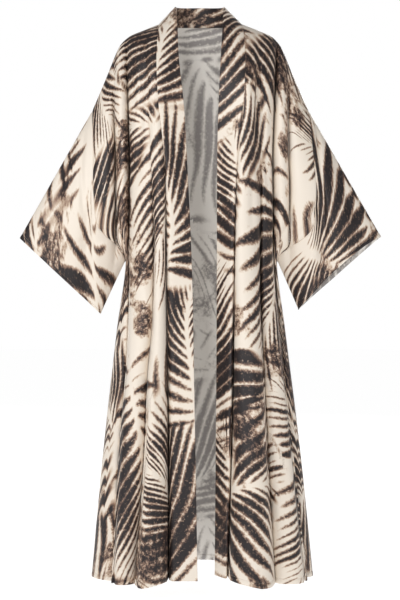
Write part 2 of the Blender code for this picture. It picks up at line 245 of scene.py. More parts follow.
def panelGrid(side, face, across, down):  # outer surface of a panel, rows from shoulder to hem
    values = sides[side]
    table = values["front" if face == front else "back"]
    lineCount = 3 if face == front else 4
    armhole = values["armhole"]
    across, down = np.meshgrid(across, down)
    topLines = [float(readCurve(table, column, 0.0)) for column in range(1, lineCount + 1)]
    part = np.minimum(across.astype(int), lineCount - 1)
    share = across - part
    knots = np.array(topLines + [armhole[0][0]])
    topX = mix(knots[part], knots[part + 1], share)
    z = panelHeights(side, face, across, down, topX)
    lines = np.stack([readCurve(table, column, z) for column in range(1, lineCount + 1)])
    bulges = np.stack([readCurve(table, column, z) for column in range(lineCount + 1, len(table[0]))])
    half = readCurve(body["sections"], values["widthColumn"], z)
    depth = readCurve(body["sections"], 3 if face == front else 4, z)
    sideBulge = readCurve(body["sections"], 5, z)
    start = np.where((face == back) & (topX < neck["halfWidth"]), neckY(topX), 0.0)
    drop = np.where(down > 1.0, 1.0, np.minimum(1.0, (topZ(topX) - z) / body["shoulderRound"]))
    rounding = np.sqrt(np.maximum(0.0, 1.0 - (1.0 - drop) ** 2))

    def onBody(angle, bulge):
        out = bulge * rounding
        y = mix(start, depth * np.cos(angle), rounding) + out * np.cos(angle)
        return (half + out) * np.sin(angle), y

    def take(stack, index):
        return np.take_along_axis(stack, index[None], 0)[0]

    low = np.minimum(part, lineCount - 2)
    angle = np.arcsin(np.minimum(1.0, mix(take(lines, low), take(lines, low + 1), share) / half))
    tubeShare = np.where((face == back) & (part == 0), 0.5 + 0.5 * share, share)
    innerX, innerY = onBody(angle, take(bulges, low) * tube(tubeShare))
    armpitX = lines[-1]
    armpitAngle = np.arcsin(np.minimum(1.0, armpitX / half))
    belowX, belowY = onBody(mix(armpitAngle, math.pi / 2, share), sideBulge * tube(0.5 * share))
    seamDown = np.minimum(1.0, down) ** body["armholeEase"]
    seamX = along(armhole, seamDown)[0]
    y = mix(onBody(armpitAngle, 0.0)[1], body["armholeHalfDepth"] * arch(seamDown), smooth(share))
    stripShare = body["stripShare"]
    strip = body["stripBulge"] * tube(np.minimum(1.0, share / stripShare))
    wing = body["wingBulge"] * tube(np.maximum(0.0, share - stripShare) / (1.0 - stripShare))
    spread = (seamX - armpitX) / (armhole[0][0] - topLines[-1])
    y = y + (strip + wing) * rounding * arch(seamDown) * np.minimum(1.0, spread)
    turnStart, turnRate = body["sideTurn"]
    toBelow = smooth(turnRate * (down - turnStart))
    outerX = mix(mix(armpitX, seamX, share), belowX, toBelow)
    outerY = mix(y, belowY, toBelow)
    inner = part < lineCount - 1
    x = np.where(inner, innerX, outerX)
    y = np.where(inner, innerY, outerY)
    y = np.where(np.abs(y) < 1e-7, 0.0, y)
    return np.stack([side * x, face * y, z], axis=-1)


# The grids have fine columns in the valleys and beside the seams, and fine rows at the hem.
mesh = {
    "frontParts": (16, 20), "backParts": (9, 16, 18), "strip": 12, "wing": 26,
    "armholeRows": 96, "skirtRows": 170, "sleeveRows": 76, "bandColumns": 12,
    "hemRows": (0.0154, 0.0136, 0.0124, 0.0112, 0.0100, 0.0060, 0.0025, 0.0010),
    "wall": 0.0008,
}


def eased(count):  # shares of a part, closer together at both ends
    return [(1.0 - math.cos(math.pi * i / count)) / 2 for i in range(count)]


def columnPlaces(parts):
    places = [part + share for part, count in enumerate(parts) for share in eased(count)]
    last, stripShare = len(parts), body["stripShare"]
    places += [last + stripShare * share for share in eased(mesh["strip"])]
    places += [last + mix(stripShare, 1.0, share) for share in eased(mesh["wing"])]
    return places + [last + 1.0]


def rowPlaces():
    upper = [row / mesh["armholeRows"] for row in range(mesh["armholeRows"])]
    skirt = body["underarm"] - body["hem"]
    hemTop = 1.0 - mesh["hemRows"][0] / skirt
    lower = [1.0 + hemTop * row / mesh["skirtRows"] for row in range(mesh["skirtRows"])]
    return upper + lower + [2.0 - rise / skirt for rise in mesh["hemRows"]] + [2.0]


def sleeveGrid(side, frontGrid, backGrid):
    # From the under seam up the back and down the front, rows from the armhole to the cuff.
    count = mesh["armholeRows"]
    outer = -1 if side < 0 else 0
    seam = np.concatenate([backGrid[count::-1, -1 - outer], frontGrid[1:count + 1, outer]])
    place = np.abs(np.arange(-count, count + 1)) / count
    face = np.where(np.arange(-count, count + 1) < 0, back, front)
    across = (1.0 - np.cos(math.pi * place)) / 2
    top, under, halfDepth = sides[side]["cuff"]
    cuff = np.stack([side * mix(top[0], under[0], across), face * halfDepth * arch(across),
                     mix(top[1], under[1], across)], axis=-1)
    length = math.dist(top, body["shoulder"][-1])
    rows, hemRows = mesh["sleeveRows"], mesh["hemRows"]
    share = [row / rows * (1.0 - hemRows[0] / length) for row in range(rows)]
    share = np.array(share + [1.0 - rise / length for rise in hemRows] + [1.0])[:, None]
    grid = mix(seam[None], cuff[None], share[..., None])
    for atArmhole, atCuff, width, inFront, behind in sides[side]["sleeveFolds"]:
        depth = np.where(face == front, inFront, behind)
        away = (across - mix(atArmhole, atCuff, share)) / width
        grid[..., 1] -= face * depth * np.exp(-away * away) * smooth(3.0 * share) * arch(across)
    # At the cuff the front layer hangs a little back from the layer behind it.
    upSleeve = (seam - cuff) / np.linalg.norm(seam - cuff, axis=-1, keepdims=True)
    pulled = sides[side]["gape"] * (face == front) * np.sin(math.pi * place) ** 1.5
    grid += upSleeve * pulled[None, :, None] * share[..., None] ** 5
    return grid if side > 0 else grid[:, ::-1]


def bandGrid(fronts, backGrid):
    # Sections from the hem up the wearer's right front, round the neck and down the left.
    path = []
    for side in (-1, 1):
        seam = fronts[side][:, 0 if side < 0 else -1]
        freeX, rise, setBack = (readCurve(sides[side]["band"], column, seam[:, 2]) for column in (1, 2, 3))
        free = np.stack([side * freeX, seam[:, 1] + setBack, seam[:, 2] + rise], axis=-1)
        path.append((seam, free))
    seam = backGrid[0][np.abs(backGrid[0][:, 0]) < neck["halfWidth"] - 0.0003]
    side = np.where(seam[:, 0] < 0, -1, 1)
    share = np.abs(seam[:, 0]) / neck["halfWidth"]
    freeTop = np.where(side < 0, bandRight[0][1], bandLeft[0][1])
    sideRise = np.where(side < 0, bandRight[0][2], bandLeft[0][2])
    lean = 1.0 - band["backLean"] / neck["backDepth"]
    rise = mix(band["backHeight"], sideRise, share**2)
    free = np.stack([side * freeTop * share, seam[:, 1] * lean, seam[:, 2] + rise], axis=-1)
    path.insert(1, (seam, free))
    seams = np.concatenate([path[0][0][::-1], path[1][0], path[2][0]])
    frees = np.concatenate([path[0][1][::-1], path[1][1], path[2][1]])
    # The free edge turns softly where the front parts meet the part round the neck.
    run = np.concatenate([[0.0], np.cumsum(np.linalg.norm(np.diff(frees, axis=0), axis=-1))])
    steps = [step * sign for step in band["cornerSoft"] for sign in (-1, 1)] + [0.0]
    soft = sum(np.stack([np.interp(run + step, run, frees[:, axis]) for axis in range(3)], axis=-1)
               for step in steps)
    corners = [run[len(path[0][1]) - 1], run[len(path[0][1]) + len(path[1][1])]]
    near = sum(smooth(1.5 * (1.0 - np.abs(run - corner) / band["cornerReach"])) for corner in corners)
    frees = mix(frees, soft / len(steps), np.minimum(1.0, near)[:, None])
    count, sewn = mesh["bandColumns"], band["sewnColumns"]
    even = [sewn[-1] + band["evenPart"] * i / count for i in range(1, count)]
    shares = np.array([*sewn, *even, *band["freeColumns"]])
    return mix(seams[:, None], frees[:, None], shares[None, :, None])


down = rowPlaces()
grids = {}
for side in (-1, 1):
    grid = panelGrid(side, front, columnPlaces(mesh["frontParts"]), down)
    grids["front_" + sides[side]["name"]] = grid if side < 0 else grid[:, ::-1]
places = columnPlaces(mesh["backParts"])
rightBack, leftBack = panelGrid(-1, back, places, down), panelGrid(1, back, places, down)
rightBack[:, 0] = leftBack[:, 0] = (rightBack[:, 0] + leftBack[:, 0]) / 2
grids["back"] = np.concatenate([rightBack[:, :0:-1], leftBack], axis=1)
for side in (-1, 1):
    sideName = sides[side]["name"]
    grids["sleeve_" + sideName] = sleeveGrid(side, grids["front_" + sideName], grids["back"])
grids["neckband"] = bandGrid({-1: grids["front_right"], 1: grids["front_left"]}, grids["back"])
print("grids", {name: grid.shape[:2] for name, grid in grids.items()})

# Points that pieces share along their seams, found before anything is moved.
joined = {}
for name, grid in grids.items():
    rows, width = grid.shape[:2]
    edge = [(row, column) for row in range(rows) for column in (0, width - 1)]
    edge += [(row, column) for row in (0, rows - 1) for column in range(1, width - 1)]
    for row, column in edge:
        joined.setdefault(tuple(np.round(grid[row, column], 5)), []).append((name, row, column))
joined = {place: members for place, members in joined.items() if len(members) > 1}


def sharedNormals(shapes):
    normals = {}
    for name, grid in shapes.items():
        across = np.cross(grid[1:, 1:] - grid[:-1, :-1], grid[1:, :-1] - grid[:-1, 1:])
        total = np.zeros_like(grid)
        for rows in (slice(0, -1), slice(1, None)):
            for columns in (slice(0, -1), slice(1, None)):
                total[rows, columns] += across
        normals[name] = total
    for members in joined.values():
        total = sum(normals[name][row, column] for name, row, column in members)
        for name, row, column in members:
            normals[name][row, column] = total
    for name, grid in grids.items():
        normal = normals[name]
        if name != "neckband":
            normal[..., 1] = np.where(grid[..., 1] == 0.0, 0.0, normal[..., 1])
        underarm = (grid[..., 1] == 0.0) & (np.abs(grid[..., 2] - body["underarm"]) < 1e-6)
        outwards, up = body["sleeveUnderarm" if name.startswith("sleeve") else "panelUnderarm"]
        normal[underarm] = np.stack([np.sign(grid[underarm][:, 0]) * outwards, np.zeros(underarm.sum()),
                                     np.full(underarm.sum(), up)], axis=-1)
        normals[name] = normal / np.maximum(1e-12, np.linalg.norm(normal, axis=-1, keepdims=True))
    return normals


# Creases, listed one by one.
creases = {
    # face: points x, z; half width; depth, a ridge where negative
    front: (
        (((-124, -85), (-131, -180), (-137, -290), (-142, -390)), 7.5, 6),
        (((-106, -240), (-110, -340), (-107, -480)), 10, -3.5),
        (((-116, -420), (-112, -520), (-118, -640)), 7, 4),
        (((-150, -130), (-148, -200), (-152, -260)), 6, 3),
        (((-96, -760), (-92, -900), (-98, -1060)), 9, 3.5),
        (((-148, -820), (-156, -960), (-160, -1120)), 8, 4),
        (((131, -60), (129, -170), (126, -290), (130, -420)), 5, 6.5),
        (((143, -150), (140, -260), (145, -380)), 4.5, 6.5),
        (((152, -250), (150, -340), (153, -470)), 4.5, 5),
        (((113, -260), (116, -390), (114, -500)), 6, 4.5),
        (((104, -120), (108, -210), (106, -290)), 7, -3),
        (((102, -700), (106, -850), (112, -1010)), 9, 4),
        (((176, -790), (184, -930), (196, -1130)), 8, 4.5),
        (((-262, -215), (-270, -330), (-263, -470)), 6, 3.5),
        (((-288, -260), (-318, -360), (-330, -470)), 12, 4.5),
        (((-215, -520), (-262, -505), (-320, -520)), 10, 5),
        (((-345, -380), (-362, -450), (-372, -505)), 9, -3),
        (((262, -180), (268, -290), (276, -400), (284, -520)), 4.5, 6),
        (((205, -500), (246, -470), (268, -400)), 9, 4.5),
        (((300, -300), (326, -370), (352, -470)), 11, 4.5),
        (((236, -560), (272, -545), (318, -530)), 10, -4),
    ),
    back: (
        (((-70, -200), (-66, -330), (-72, -520)), 9, 4.5),
        (((74, -120), (70, -260), (78, -430)), 8, 4),
        (((-20, -330), (-16, -500), (-22, -720)), 9, 4),
        (((18, -520), (22, -700), (20, -930)), 8, 4.5),
        (((-126, -150), (-130, -250), (-127, -370)), 7, 4.5),
        (((130, -170), (126, -290), (131, -450)), 7, 5),
        (((-150, -760), (-158, -900), (-164, -1090)), 9, 4.5),
        (((160, -800), (170, -960), (178, -1140)), 9, 5),
        (((-264, -230), (-272, -350), (-262, -480)), 7, 4),
        (((-300, -330), (-322, -420), (-326, -520)), 10, 4.5),
        (((266, -210), (274, -330), (272, -470)), 7, 4.5),
        (((308, -300), (334, -390), (346, -480)), 11, 4),
        (((228, -530), (270, -520), (320, -535)), 10, 4),
    ),
}

# Narrow cuts that deepen the valleys between the round folds: a column of the face's table, or 0
# for the line between strip and wing, then the cut's depth by height, none at the shoulder.
valleyCuts = {
    ("front", -1): (
        (1, ((-250, 1), (-400, 5), (-600, 11), (-900, 15), (-1270, 15))),
        (2, ((-300, 1), (-500, 5), (-750, 11), (-1270, 13))),
        (3, ((-100, 2), (-220, 11), (-450, 14), (-800, 11), (-1270, 12))),
        (0, ((-140, 1), (-260, 10), (-450, 13), (-600, 11))),
    ),
    ("front", 1): (
        (1, ((-250, 1), (-400, 5), (-600, 10), (-900, 15), (-1270, 16))),
        (2, ((-220, 2), (-500, 5), (-750, 10), (-1270, 13))),
        (3, ((-60, 2), (-160, 10), (-400, 14), (-800, 11), (-1270, 12))),
        (0, ((-120, 1), (-240, 10), (-450, 13), (-600, 11))),
    ),
    ("back", -1): (
        (2, ((-300, 1), (-600, 5), (-1270, 12))),
        (3, ((-300, 2), (-600, 7), (-1270, 13))),
        (4, ((-160, 1), (-300, 10), (-600, 11), (-1270, 12))),
        (0, ((-200, 1), (-340, 8), (-600, 9))),
    ),
    ("back", 1): (
        (2, ((-300, 1), (-600, 6), (-1270, 13))),
        (3, ((-300, 2), (-600, 7), (-1270, 12))),
        (4, ((-180, 1), (-320, 10), (-600, 11), (-1270, 12))),
        (0, ((-180, 1), (-300, 7), (-600, 9))),
    ),
}
cutShape = {
    "deepen": 2.7, "narrow": 0.0038, "draw": 0.0021, "drawWidth": 0.0056, "drawFull": 0.010, "clear": 0.008,
    "armholeLow": -0.44, "stripEnd": -0.66, "stripFade": 0.05,
}


def valleys(base, part, side):
    # How far the valley cuts go straight in at each point, and how far they draw the cloth sideways.
    x, z = side * base[..., 0], base[..., 2]
    armhole = [(height, wide) for wide, height in sides[side]["armhole"]]
    inwards, slide = np.zeros(x.shape), np.zeros(x.shape)
    for column, depths in valleyCuts[part, side]:
        ending = 1.0
        if column:
            line = readCurve(sides[side][part], column, z)
        else:
            armpit = readCurve(sides[side][part], 3 if part == "front" else 4, z)
            seam = readCurve(armhole, 1, np.maximum(z, cutShape["armholeLow"]))
            line = mix(armpit, seam, body["stripShare"])
            ending = smooth((z - cutShape["stripEnd"]) / cutShape["stripFade"])
        away = x - line
        cut = readCurve(metres(((0, 0), *depths)), 1, z) * ending
        inwards += cutShape["deepen"] * cut * np.exp(-np.abs(away) / cutShape["narrow"])
        place = (away / cutShape["drawWidth"]) ** 2
        strength = cutShape["draw"] * np.minimum(1.0, cut / cutShape["drawFull"])
        slide -= strength * np.sign(away) * place * np.exp(1.0 - place)
    room = np.maximum(0.0, np.abs(base[..., 1]) - cutShape["clear"])
    return np.minimum(inwards, room), slide


# How far from the side seams creases and waves reach their full depth.
sideFade = {"creases": 0.030, "waves": 0.015}
# Height of the cloth's faint waves, then their turns across and lengthwise.
waves = ((0.0011, 9.0, 2.6), (0.0005, 30.0, 8.0))


def creaseDepth(points, line, width):
    # How much of its full depth a crease has at each point: none at its ends, all in the middle.
    x, z = points[..., 0], points[..., 2]
    nearest = np.full(x.shape, 9.0)
    place = np.zeros(x.shape)
    lengths = [math.dist(a, b) for a, b in zip(line, line[1:])]
    done = 0.0
    for (a, b), length in zip(zip(line, line[1:]), lengths):
        dx, dz = (b[0] - a[0]) / length, (b[1] - a[1]) / length
        run = np.clip((x - a[0]) * dx + (z - a[1]) * dz, 0.0, length)
        away = np.hypot(x - a[0] - run * dx, z - a[1] - run * dz)
        closer = away < nearest
        nearest = np.where(closer, away, nearest)
        place = np.where(closer, (done + run) / sum(lengths), place)
        done += length
    ends = smooth(4.0 * place) * smooth(4.0 * (1.0 - place))
    return ends * np.exp(-(nearest / width) ** 2)


def creased(base, normals):
    # The move of every point for the creases and valleys of its face of the coat.
    move = np.zeros(base.shape)
    for face, lines in creases.items():
        onFace = smooth(np.abs(base[..., 1]) / sideFade["creases"]) * (np.sign(base[..., 1]) == face)
        for line, width, depth in metres(lines):
            move -= normals * (depth * creaseDepth(base, line, width) * onFace)[..., None]
        for side in (-1, 1):
            onSide = onFace * (base[..., 0] * side > 0)
            inwards, slide = valleys(base, "front" if face == front else "back", side)
            move[..., 0] += side * slide * onSide
            move[..., 1] -= face * inwards * onSide
    return move


def rumpled(base):
    # Faint uneven waves of the whole cloth, the same on both sides of a seam.
    heights = [sum(height * noise.noise(Vector((x * turns, y * turns, z * lengthwise)))
                   for height, turns, lengthwise in waves) for x, y, z in base.reshape(-1, 3)]
    return np.array(heights).reshape(base.shape[:2]) * smooth(np.abs(base[..., 1]) / sideFade["waves"])


def arcs(grid, axis):  # distance run along the rows or columns
    step = np.linalg.norm(np.diff(grid, axis=axis), axis=-1)
    start = np.zeros_like(np.take(step, [0], axis=axis))
    return np.concatenate([start, np.cumsum(step, axis=axis)], axis=axis)


# Seams lie a little below the cloth beside them; a turned hem is thicker than the cloth above it.
sewing = {
    "seamDip": 0.0013, "seamWidth": 0.0028, "bandFade": 0.010,
    "hemOuter": (0.0, 0.0, -0.0003, -0.0007, 0.0001, 0.0004, 0.0004, 0.0002, -0.0001),
    "hemWall": (0.0008, 0.0008, 0.0010, 0.0014, 0.0019, 0.0020, 0.0020, 0.0017, 0.0011),
}


def seamDips(name, grid):
    across, down = arcs(grid, 1), arcs(grid, 0)
    edges = [down]
    if not name.startswith("front"):
        edges += [across, across[:, -1:] - across]
    elif name == "front_right":
        edges.append(across[:, -1:] - across)
    else:
        edges.append(across)
    return -sewing["seamDip"] * np.exp(-np.min(edges, axis=0) / sewing["seamWidth"])


def hemMove(size):
    move = np.zeros(size[:2])
    move[-len(sewing["hemOuter"]):] = np.array(sewing["hemOuter"])[:, None]
    return move


baseNormals = sharedNormals(grids)
shapes = {}
for name, grid in grids.items():
    normals = baseNormals[name]
    move = creased(grid, normals)
    if name == "neckband":  # only its sewn edge goes into the valley
        move *= np.exp(-np.linalg.norm(grid - grid[:, :1], axis=-1) / sewing["bandFade"])[..., None]
    else:
        move += normals * (rumpled(grid) + seamDips(name, grid) + hemMove(grid.shape))[..., None]
    shapes[name] = grid + move
for members in joined.values():  # a sewn point is in one place
    place = sum(shapes[name][row, column] for name, row, column in members) / len(members)
    for name, row, column in members:
        shapes[name][row, column] = place
shapeNormals = sharedNormals(shapes)
print("creases laid")


def steadied(values, axis, reach):  # a soft running mean, so that the print runs on straight past a valley
    weights = np.hanning(2 * reach + 3)[1:-1]
    padding = [(reach, reach) if i == axis else (0, 0) for i in range(2)]
    padded = np.pad(values, padding, mode="reflect", reflect_type="odd")
    return np.apply_along_axis(np.convolve, axis, padded, weights / weights.sum(), "valid")


steadying = {"rows": 16, "columns": 4}
flats = {}
for name, grid in shapes.items():
    u, v = steadied(arcs(grid, 1), 0, steadying["rows"]), steadied(arcs(grid, 0), 1, steadying["columns"])
    if name == "back":
        middle = grid.shape[1] // 2
        u = u - u[:, middle:middle + 1]
    elif name == "front_left":
        u = u - u[:, -1:]
    elif name.startswith("sleeve"):
        middle = grid.shape[1] // 2
        u, v = v, u - u[:, middle:middle + 1]
    flats[name] = np.stack([u, v], axis=-1)

# The leaf print has three layers of fronds, each frond with coordinates of its own on the flat cloth.
leafPrint = {
    "repeat": (0.84, 1.10), "seed": 8,
    # columns and rows of fronds in each layer of a repeat
    "layers": ((3, 2), (2, 2), (2, 2)),
    # the ranges that a frond of the repeat is drawn from
    "length": (0.46, 0.66), "halfWidth": (0.15, 0.23), "lean": (0.0, 0.5), "spread": (4.5, 8.5),
    "bend": (-1.3, 1.3), "spacing": (0.026, 0.036), "heading": (35, 145), "root": (-0.05, 0.35),
    "turnedShare": 0.35, "place": (0.2, 0.8), "rowShift": 0.3,
    # numbers of leaves kept for each frond
    "leaves": 80,
    # the rib's softness, the frond's middle, how leaves bend forward, how far sides are out of step
    "rib": 0.012, "middle": 0.56, "forward": 0.30, "stagger": 0.25,
    "tone": {
        "front_left": 0.12, "sleeve_left": 0.12, "sleeve_right": 0.13, "back": 0.05, "front_right": 0.02,
    },
    # how far the pattern sways to and fro: reach, then its turns per metre along u and v
    "sway": ((0.010, 7.0, 4.0), (0.006, -5.0, 17.0), (0.003, 31.0, 23.0)),
}
pieceOffsets = {"back": (0.21, 0.55), "front_right": (0.33, 0.41), "front_left": (0.71, 0.88),
                "sleeve_right": (0.0, 0.0), "sleeve_left": (0.0, 0.0), "neckband": (0.0, 0.0)}
# base x and y on the flat cloth, heading in degrees, length, half width, bend, lean, spread,
# spacing, root, layer
placedFronds = {
    "sleeve_right": (
        (0.04, 0.02, 40, 0.34, 0.23, 0.9, 0.0, 12.0, 0.022, 0.42, 1),
        (0.20, 0.34, 170, 0.36, 0.18, -0.5, 0.3, 7.0, 0.026, 0.10, 0),
        (0.36, -0.16, 120, 0.40, 0.20, 0.7, 0.3, 7.0, 0.027, 0.20, 0),
        (0.01, -0.20, -14, 0.40, 0.22, -0.6, 0.2, 8.0, 0.026, 0.30, 1),
    ),
    "sleeve_left": (
        (0.00, 0.30, -52, 0.44, 0.22, 0.8, 0.2, 9.0, 0.025, 0.25, 1),
        (0.03, 0.02, 24, 0.40, 0.22, -0.7, 0.3, 8.0, 0.026, 0.30, 0),
        (0.30, 0.08, 100, 0.36, 0.18, 0.6, 0.1, 9.0, 0.025, 0.35, 0),
        (-0.02, -0.18, 8, 0.42, 0.23, 0.5, 0.2, 8.0, 0.026, 0.30, 1),
    ),
    "neckband": (
        (-0.05, -0.08, 80, 0.50, 0.19, 0.5, 0.7, 6.0, 0.026, 0.1, 0),
        (0.10, 0.30, 104, 0.46, 0.18, -0.6, 0.6, 7.0, 0.023, 0.2, 1),
        (0.00, 0.62, 70, 0.40, 0.17, 0.9, 0.4, 8.0, 0.022, 0.3, 2),
        (-0.02, 0.92, 96, 0.36, 0.16, -0.6, 0.5, 7.0, 0.023, 0.3, 0),
        (0.07, 1.24, 110, 0.34, 0.15, 0.4, 0.3, 8.0, 0.023, 0.4, 1),
        (0.10, 1.90, -76, 0.44, 0.18, -0.6, 0.5, 6.0, 0.025, 0.2, 1),
        (-0.04, 2.20, -98, 0.42, 0.17, 0.6, 0.6, 7.0, 0.023, 0.2, 0),
        (0.09, 2.52, -72, 0.40, 0.16, -0.6, 0.4, 7.0, 0.023, 0.3, 2),
        (0.00, 2.86, -92, 0.40, 0.18, 0.5, 0.6, 6.0, 0.026, 0.1, 1),
    ),
}


def makeFronds():
    draw = random.Random(leafPrint["seed"])
    wide, high = leafPrint["repeat"]
    fronds = []
    for layer, (columns, rows) in enumerate(leafPrint["layers"]):
        for row in range(rows):
            for column in range(columns):
                heading = draw.uniform(*leafPrint["heading"])
                heading = math.radians(heading + (180 if draw.random() < leafPrint["turnedShare"] else 0))
                length = draw.uniform(*leafPrint["length"])
                x = (column + draw.uniform(*leafPrint["place"]) + leafPrint["rowShift"] * row) * wide / columns
                y = (row + draw.uniform(*leafPrint["place"])) * high / rows
                base = (x - 0.5 * length * math.cos(heading), y - 0.5 * length * math.sin(heading))
                drawn = {key: draw.uniform(*leafPrint[key])
                         for key in ("halfWidth", "spacing", "lean", "spread", "root", "bend")}
                fronds.append({"base": base, "heading": heading, "length": length, "layer": layer,
                               "leaf": leafPrint["leaves"] * len(fronds), **drawn})
    return fronds


def frondsFor(name):  # the piece's own fronds, or those of the repeat where it has none
    if name not in placedFronds:
        return repeatFronds, leafPrint["repeat"]
    keys = ("length", "halfWidth", "bend", "lean", "spread", "spacing", "root", "layer")
    placed = []
    for x, y, heading, *values in placedFronds[name]:
        placed.append({"base": (x, y), "heading": math.radians(heading), **dict(zip(keys, values)),
                       "leaf": leafPrint["leaves"] * (len(placed) + 0.5)})
    return placed, None


def frondFields(flat, offset, fronds, repeat):
    # For one layer: number of the leaf, how far out along it, how far inside the frond,
    # and how wide a leaf with its gap is there.
    u, v = flat[..., 0] + offset[0], flat[..., 1] + offset[1]
    swayU = sum(reach * np.sin(turnsU * u + turnsV * v + turnsV) for reach, turnsU, turnsV in leafPrint["sway"])
    swayV = sum(reach * np.sin(turnsV * u - turnsU * v + turnsU) for reach, turnsU, turnsV in leafPrint["sway"])
    u, v = u + swayU, v + swayV
    leaf, reach, room = np.zeros(u.shape), np.ones(u.shape), np.full(u.shape, 0.03)
    best, second = np.full(u.shape, -1.0), np.full(u.shape, -1.0)
    shifts = [(0.0, 0.0)]
    if repeat:
        wide, high = repeat
        across = range(math.floor(u.min() / wide) - 1, math.ceil(u.max() / wide) + 2)
        lengthwise = range(math.floor(v.min() / high) - 1, math.ceil(v.max() / high) + 2)
        shifts = [(i * wide, j * high) for i in across for j in lengthwise]
    for frond in fronds:
        for shift in shifts:
            x, y = u - frond["base"][0] - shift[0], v - frond["base"][1] - shift[1]
            cos, sin = math.cos(frond["heading"]), math.sin(frond["heading"])
            ahead, beside = x * cos + y * sin, y * cos - x * sin
            curve = frond["bend"] / frond["length"] + 1e-4
            s = np.arctan2(ahead * curve, 1.0 - beside * curve) / curve
            t = (1.0 - np.hypot(ahead * curve, 1.0 - beside * curve)) / curve
            side = np.tanh(t / leafPrint["rib"])
            out = np.abs(t) / frond["halfWidth"]
            middle = leafPrint["middle"] * frond["length"]
            inside = 1.0 - np.hypot(out, (s - middle) / middle)
            far = np.abs(t) * (1.0 + leafPrint["forward"] * out)
            pitch = frond["spacing"] * (1.0 + frond["spread"] * far)
            number = (s - frond["root"] * frond["length"] - frond["lean"] * far) / pitch
            slope = frond["lean"] + number * frond["spacing"] * frond["spread"]
            local = pitch / np.hypot(1.0, (1.0 + 2.0 * leafPrint["forward"] * out) * slope)
            number = number + leafPrint["stagger"] * side + frond["leaf"]
            ahead = inside > best
            second = np.where(ahead, best, np.maximum(second, inside))
            best = np.where(ahead, inside, best)
            leaf = np.where(ahead, number, leaf)
            reach = np.where(ahead, out, reach)
            room = np.where(ahead, local, room)
    inside = np.minimum(best, 1.5 * (best - second))
    return np.stack([leaf, reach, np.maximum(inside, -0.5), room], axis=-1)


repeatFronds = makeFronds()
layers = {}
for name in grids:
    fronds, repeat = frondsFor(name)
    layers[name] = []
    for layer in range(len(leafPrint["layers"])):
        chosen = [frond for frond in fronds if frond["layer"] == layer]
        layers[name].append(frondFields(flats[name], pieceOffsets[name], chosen, repeat))
    print(name, "flat cloth", np.round(np.ptp(flats[name].reshape(-1, 2), axis=0), 3))
print("print laid out,", len(repeatFronds), "fronds in a repeat")


class Signal:  # a socket that sums, products and powers can be written with
    def __init__(self, finish, socket):
        self.finish, self.socket = finish, socket

    def maths(self, operation, *others, clamp=False):
        values = dict(enumerate((self, *others)))
        settings = {"operation": operation, "use_clamp": clamp}
        return self.finish.node("ShaderNodeMath", settings, values)

    def __add__(self, other): return self.maths("ADD", other)
    def __sub__(self, other): return self.maths("SUBTRACT", other)
    def __mul__(self, other): return self.maths("MULTIPLY", other)
    def __truediv__(self, other): return self.maths("DIVIDE", other)
    def __pow__(self, other): return self.maths("POWER", other)
    def __radd__(self, other): return self.maths("ADD", other)
    def __rmul__(self, other): return self.maths("MULTIPLY", other)
    def __rsub__(self, other): return (self * -1.0).maths("ADD", other)
    def __abs__(self): return self.maths("ABSOLUTE")
    def kept(self): return self.maths("ADD", 0.0, clamp=True)
    def below(self, other): return self.maths("MINIMUM", other)
    def above(self, other): return self.maths("MAXIMUM", other)

    def eased(self, low, high):  # 0 to 1 between two values
        settings = {"interpolation_type": "SMOOTHSTEP"}
        values = {"Value": self, "From Min": low, "From Max": high, "To Min": 0.0, "To Max": 1.0}
        return self.finish.node("ShaderNodeMapRange", settings, values)


class Finish:  # one material and its nodes
    def __init__(self, name):
        self.material = bpy.data.materials.new(name)
        self.material.use_nodes = True
        self.nodes = self.material.node_tree.nodes
        self.links = self.material.node_tree.links
        self.shader = self.nodes["Principled BSDF"]

    def node(self, kind, settings=None, values=None, output=0):
        made = self.nodes.new(kind)
        for key, value in (settings or {}).items():
            if key == "stops":
                ramp = made.color_ramp
                while len(ramp.elements) < len(value):
                    ramp.elements.new(0.5)
                for element, (place, colour) in zip(ramp.elements, value):
                    element.position, element.color = place, (*colour, 1.0)
            else:
                setattr(made, key, value)
        self.fill(made, values or {})
        return Signal(self, made.outputs[output])

    def fill(self, made, values):
        for key, value in values.items():
            if isinstance(value, Signal):
                self.links.new(value.socket, made.inputs[key])
            else:
                made.inputs[key].default_value = value


def linear(*screen):  # 0 to 255 on screen to the renderer's own values
    return tuple(((v / 255 + 0.055) / 1.055) ** 2.4 if v > 10 else v / 255 / 12.92 for v in screen)


